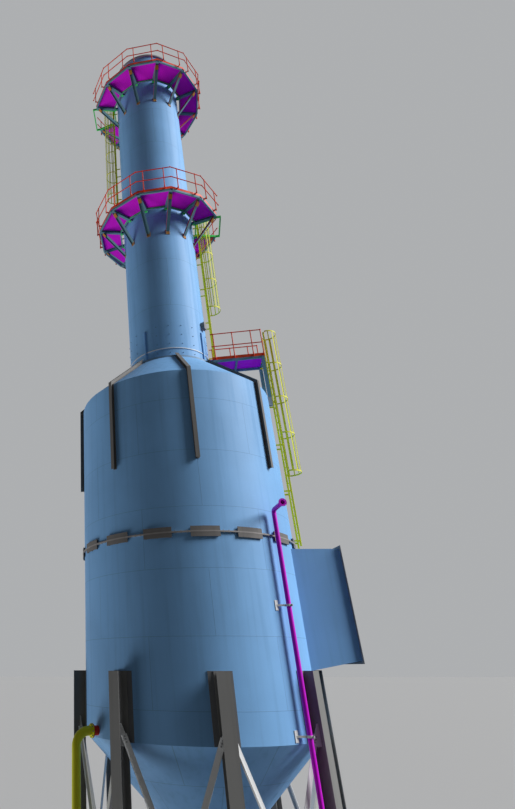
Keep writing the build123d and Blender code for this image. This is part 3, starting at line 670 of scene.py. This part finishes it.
outer_corner_r = 2.790
walk_out = outer_corner_r * math.cos(math.radians(side_turn / 2))
rail_r, ball_r = 0.021, 0.033
socket_r = 1.35 * rail_r
tube_sides, ball_rows, ball_sides = 10, 6, 8
rail_off = 0.125
toe_off = 0.008
rail_line = walk_out + rail_off
top_rail_h, mid_rail_h = 1.099, 0.519
floor_t = 0.030
toe_h, toe_t = 0.100, 0.006
post_place = 0.62
socket_h = 0.110
post_plate_h, post_plate_half_w, post_plate_t = 0.100, 0.04, 0.010
post_arm_half_t, post_arm_edge = 0.006, 0.01
thin_bevel = 0.001
rail_red = (0.88, 0.065, 0.012)


def round_outline(r, sides):
    """Points (r cos t, r sin t) at equal angles t."""
    t = 2 * np.pi * np.arange(sides) / sides
    return np.stack([r * np.cos(t), r * np.sin(t)], axis=-1)


def ball(r):
    """A small sphere: a half circle of points turned about Z."""
    t = np.linspace(-np.pi / 2, np.pi / 2, ball_rows)
    return turned(np.stack([r * np.cos(t), r * np.sin(t)], axis=-1), ball_sides)


def post(height):
    """A tube in a socket, a ball where each rail passes, and the bracket that runs inwards from
    the socket to a plate bolted to the toe board."""
    tube = carried(round_outline(rail_r, tube_sides), [(0, 0, 0), (0, 0, height)], (1, 0, 0))
    socket = carried(round_outline(socket_r, tube_sides), [(0, 0, 0), (0, 0, socket_h)], (1, 0, 0))
    inner = post_plate_t - rail_off - toe_off + toe_t / 2
    arm = slab(inner, 0, -post_arm_half_t, post_arm_half_t,
               post_arm_edge, post_plate_h - post_arm_edge, thin_bevel)
    plate = slab(inner - post_plate_t, inner, -post_plate_half_w, post_plate_half_w,
                 0, post_plate_h, thin_bevel)
    balls = copies(ball(ball_r), np.array([shifted(0, 0, h) for h in (height, mid_rail_h + floor_t)]))
    return joined([tube, socket, arm, plate, balls])


rail_paint = painted("rail_paint", rail_red, rough=0.4, shade_depth=0.06)
half_side = walk_out * math.tan(math.radians(side_turn / 2))
for name, z, hatch_side in zip(walk_names, walk_z, hatch_sides):
    foot_z = z + beam_h
    floor_z = foot_z + floor_t
    lines = [corner_path(rail_line, floor_z + h, hatch_side) for h in (top_rail_h, mid_rail_h)]
    rails = [carried(round_outline(rail_r, tube_sides), line, (0, 0, 1)) for line in lines]
    corners = copies(ball(ball_r), np.array([shifted(*p) for line in lines for p in line]))
    toe_path = corner_path(walk_out - toe_off, foot_z + (floor_t + toe_h) / 2, hatch_side)
    toe = carried(flat_outline(toe_t, floor_t + toe_h), toe_path, (0, 0, 1))
    side_turns = hatch_turn + side_turn * (hatch_side + 1 + np.arange(walk_sides - 1))
    post_at = np.array([shifted(rail_line, s * post_place * half_side, foot_z) for s in (-1, 1)])
    posts = copies(copies(post(floor_t + top_rail_h), post_at), round_axis(side_turns))
    handrail = piece(f"{name}_rail_tubes", [*rails, corners, toe, posts], rail_paint)
    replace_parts(handrail, f"{name}_handrail")


# Walkway on the roof
# Teal beams between the stack and two posts that stand on stools at the wall's rim, with a
# magenta floor and a tube rail with toe board along each long side.

roof_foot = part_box("roof_walkway_grating")[0].z
roof_half_w = 0.500
rail_start, rail_end = 1.720, 3.715
post_off_end = 0.02
post_shares = (0.05, 0.43, 0.8, 1.0)
stool_grey = (0.45, 0.46, 0.47)


def roof_rail():
    """The rail of the high side of Y: top and mid tubes, four posts, and the toe board."""
    floor = roof_foot + floor_t
    y = roof_half_w + rail_off
    lines = [[(x, y, floor + h) for x in (rail_start, rail_end)] for h in (top_rail_h, mid_rail_h)]
    tubes = [carried(round_outline(rail_r, tube_sides), line, (0, 0, 1)) for line in lines]
    quarter_turn = round_axis(90.0)[0]
    first, run = rail_start + post_off_end, rail_end - rail_start - 2 * post_off_end
    spots = [shifted(first + share * run, y, roof_foot) @ quarter_turn for share in post_shares]
    toe_in, toe_out = roof_half_w - toe_off - toe_t / 2, roof_half_w - toe_off + toe_t / 2
    toe = slab(rail_start, rail_end, toe_in, toe_out, roof_foot, floor + toe_h, thin_bevel)
    return joined([*tubes, copies(post(floor_t + top_rail_h), np.array(spots)), toe])


both_sides = np.array([np.eye(4), np.diag([1, -1, 1, 1])])
roof_rails = copies(copies(roof_rail(), both_sides), round_axis(hatch_turn))
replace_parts(piece("roof_walkway_rail_tubes", [roof_rails], rail_paint), "roof_walkway_handrail")
dress(beam_paint, "roof_walkway_frame")
dress(painted("stool_paint", stool_grey, rough=0.5), "roof_walkway_seats")
dress(painted("roof_floor_coat", grating_magenta, rough=0.55, shade_depth=0.06), "roof_walkway_grating")


# Ladders and cages
# Flat stiles with round rungs let into them, held off the wall by flat brackets, and a cage of
# flat hoops and straps bolted together. Painted yellow from end to end.

ladder_yellow = (0.94, 0.92, 0.03)
stile_half, stile_t, stile_w = 0.225, 0.010, 0.065
rung_r, rung_sides = 0.0125, 8
rung_pitch = 0.300
first_rung = 0.180
above_floor = 1.200
bracket_pitch = 2.4
arm_h, arm_t = 0.060, 0.008
first_arm, last_arm_drop = 0.150, 1.450
arm_past_stile = 0.02
rounding_slack = 0.001
# Each ladder's name, its wall's radius, how far it stands off the wall, and its angle.
ladder_rows = (("shell", shell_r, 0.270, hatch_turn), ("lower_stack", stack_r, 0.240, hatch_turn),
               ("upper_stack", stack_r, 0.240, hatch_turn + 180.0))


def ladder(wall_r, standoff, z0, z1):
    """Stiles with rounded edges, wall brackets and rungs, in the plane of X and Z."""
    x = wall_r + standoff
    outside = stile_half + stile_t
    stile = slab(x - stile_w / 2, x + stile_w / 2, stile_half, outside, z0, z1)
    arm = slab(wall_r, x + arm_past_stile, outside, outside + arm_t, 0, arm_h)
    count = max(2, round((z1 - z0) / bracket_pitch) + 1)
    arm_heights = np.linspace(z0 + first_arm, z1 - last_arm_drop, count)
    arms = copies(arm, np.array([shifted(0, 0, z) for z in arm_heights]))
    sides = copies(joined([stile, arms]), both_sides)
    rung_half = stile_half + stile_t / 2
    rung = carried(round_outline(rung_r, rung_sides), [(x, -rung_half, 0), (x, rung_half, 0)], (0, 0, 1))
    rungs = int((z1 - above_floor - z0) / rung_pitch + rounding_slack)
    heights = z0 + first_rung + rung_r + rung_pitch * np.arange(rungs)
    return joined([sides, copies(rung, np.array([shifted(0, 0, z) for z in heights]))])


yellow_paint = painted("yellow_paint", ladder_yellow, rough=0.45, shade_depth=0.08)
for name, wall_r, standoff, turn in ladder_rows:
    low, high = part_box(f"{name}_ladder")
    form = ladder(wall_r, standoff, low.z, high.z)
    made = piece(f"{name}_ladder_steel", [copies(form, round_axis(turn))], yellow_paint)
    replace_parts(made, f"{name}_ladder")
    dress(yellow_paint, f"{name}_ladder_cage")


# Riser
# A steel pipe up the wall in two white clamps, with a bend and a flange at its head and another
# flange at its foot. Pipe magenta. The clamps' ears are bolted beside the pipe.

riser_turn, riser_out = -53.0, 3.816
riser_r = 0.068
pipe_magenta = (0.74, 0.0, 0.80)
clamp_heights = (6.680, 9.934)
clamp_t = 0.010
ear_w, ear_h, ear_t, ear_bevel = 0.055, 0.056, 0.010, 0.002
ear_gap = 0.003
ear_bolt_off, ear_bolt_r = 0.04, 0.008


def clamp_ears():
    """Two pairs of ears beside the pipe."""
    start = riser_r + clamp_t
    ear = slab(start, start + ear_w, ear_gap, ear_gap + ear_t, -ear_h / 2, ear_h / 2, ear_bevel)
    return copies(ear, np.array([np.diag([x, y, 1, 1]) for x in (-1, 1) for y in (-1, 1)]))


def ear_bolts():
    """Bolts through the ears, looking along Y."""
    toward_y = np.array([[1, 0, 0, 0], [0, 0, 1, 0], [0, -1, 0, 0], [0, 0, 0, 1.0]])
    spots = [(x * (riser_r + ear_bolt_off), look) for x in (-1, 1) for look in (-1, 1)]
    return np.array([shifted(x, look * (ear_gap + ear_t), 0) @ toward_y @ np.diag([1, 1, look, 1])
                     for x, look in spots])


clamp_places = round_axis(riser_turn, riser_out, clamp_heights)
clamp_white = painted("clamp_paint", brace_white, rough=0.4, shade_depth=0.05)
piece("riser_clamp_ears", [copies(clamp_ears(), clamp_places)], clamp_white)
clamp_bolts = copies(copies(bolt(ear_bolt_r), ear_bolts()), clamp_places)
piece("riser_clamp_bolts", [clamp_bolts], bolt_metal)
dress(clamp_white, "riser_clamps")
dress(painted("riser_paint", pipe_magenta, rough=0.35, shade_depth=0.06), "riser_pipe")


# Overflow
# A red branch welded to the wall and a yellow pipe bolted to it, which bends down and ends in a
# flange near the ground.

overflow_turn, overflow_z, overflow_flange_x = 205.0, 6.680, 3.790
overflow_bolt_circle_r = 0.160
overflow_bolt_count, overflow_bolt_r = 8, 0.010
joint_flange_t = 0.024
nozzle_red, overflow_yellow = (0.75, 0.02, 0.01), (0.92, 0.93, 0.02)
joint_spots = round_outline(overflow_bolt_circle_r, overflow_bolt_count)
joint_places = np.array([shifted(overflow_flange_x + joint_flange_t, -y, overflow_z + x) @ toward_x
                         for x, y in joint_spots])
joint_bolts = copies(copies(bolt(overflow_bolt_r), joint_places), round_axis(overflow_turn))
piece("overflow_joint_bolts", [joint_bolts], bolt_metal)
dress(painted("nozzle_paint", nozzle_red, rough=0.4, shade_depth=0.06), "overflow_nozzle")
dress(painted("overflow_paint", overflow_yellow, rough=0.38, shade_depth=0.06), "overflow_pipe")


# Floor, light and camera
# A plain pale floor that meets a plain backdrop, a large soft lamp to the right, a weak one that
# shines up through the floor from the left, and a camera above the ground that looks up at the
# stack. Only what is seen directly shows the floor pale. To the lamps' light it is dark.

floor_pale = (0.605, 0.61, 0.615, 1.0)
floor_dark = (0.07, 0.07, 0.07, 1.0)
backdrop = (0.42, 0.43, 0.44, 1.0)
floor_half, floor_rough = 600.0, 0.9
ambient = 0.05
far_clip = 2000.0
camera_at = (-3.486, -20.058, 8.314)
look_turn, look_up = 91.47, 26.04
lens_mm, film_mm = 24.417, 36.0
frame_w, frame_h = 515.0, 809.0
# The lens looks straight at this place in the frame, counted from its left and its top.
axis_px, axis_py = 73.68, 399.51


def seen_directly(tree):
    """1 for a ray from the camera, off a shiny surface or through glass, and 0 for any other."""
    rays = tree.nodes.new("ShaderNodeLightPath").outputs
    camera_ray, glossy, through = [Socket(tree, rays[f"Is {kind} Ray"])
                                   for kind in ("Camera", "Glossy", "Transmission")]
    return camera_ray.maths("MINIMUM", camera_ray + glossy + through, 1.0)


floor_mesh = bpy.data.meshes.new("floor")
floor_mesh.from_pydata([(-floor_half, -floor_half, 0), (floor_half, -floor_half, 0),
                        (floor_half, floor_half, 0), (-floor_half, floor_half, 0)], [], [(0, 1, 2, 3)])
floor_material = bpy.data.materials.new("pale_floor")
floor_material.use_nodes = True
floor_tree = floor_material.node_tree
floor_shader = floor_tree.nodes["Principled BSDF"]
seen_floor = seen_directly(floor_tree)
floor_tone = seen_floor.node("ShaderNodeMix", {"data_type": "RGBA"},
                             {0: seen_floor, 6: floor_dark, 7: floor_pale}, 2)
floor_tree.links.new(floor_tone.link, floor_shader.inputs["Base Color"])
floor_shader.inputs["Roughness"].default_value = floor_rough
floor_mesh.materials.append(floor_material)
floor_object = bpy.data.objects.new("floor", floor_mesh)
bpy.context.scene.collection.objects.link(floor_object)
floor_object.visible_shadow = False

world = bpy.data.worlds.new("studio")
bpy.context.scene.world = world
world.use_nodes = True
sky = world.node_tree
sky.nodes.clear()
seen_sky = seen_directly(sky)
soft = seen_sky.node("ShaderNodeBackground", {}, {"Color": (1.0, 1.0, 1.0, 1.0), "Strength": ambient})
plain = seen_sky.node("ShaderNodeBackground", {}, {"Color": backdrop, "Strength": 1.0})
mixed = seen_sky.node("ShaderNodeMixShader", {}, {0: seen_sky, 1: soft, 2: plain})
sky.links.new(mixed.link, sky.nodes.new("ShaderNodeOutputWorld").inputs["Surface"])


def lamp(name, turn, height, strength, spread):
    """A soft sun that shines from an azimuth and a height above the horizon, in degrees. A height
    below 0 is light from under the floor."""
    data = bpy.data.lights.new(name, "SUN")
    data.energy = strength
    data.angle = math.radians(spread)
    made = bpy.data.objects.new(name, data)
    made.rotation_euler = (math.radians(90 - height), 0, math.radians(turn + 90))
    bpy.context.scene.collection.objects.link(made)


lamp("key", turn=345.0, height=31.0, strength=3.8, spread=28.0)
lamp("fill", turn=160.0, height=-40.0, strength=1.6, spread=40.0)

camera_data = bpy.data.cameras.new("camera")
camera_data.lens = lens_mm
camera_data.sensor_width = film_mm
camera_data.shift_x = (frame_w / 2 - axis_px) / frame_h
camera_data.shift_y = -(frame_h / 2 - axis_py) / frame_h
camera_data.clip_end = far_clip
camera = bpy.data.objects.new("camera", camera_data)
camera.location = camera_at
camera.rotation_euler = (math.radians(90 + look_up), 0, math.radians(look_turn - 90))
bpy.context.scene.collection.objects.link(camera)
bpy.context.scene.camera = camera
bpy.context.scene.view_settings.view_transform = "Standard"
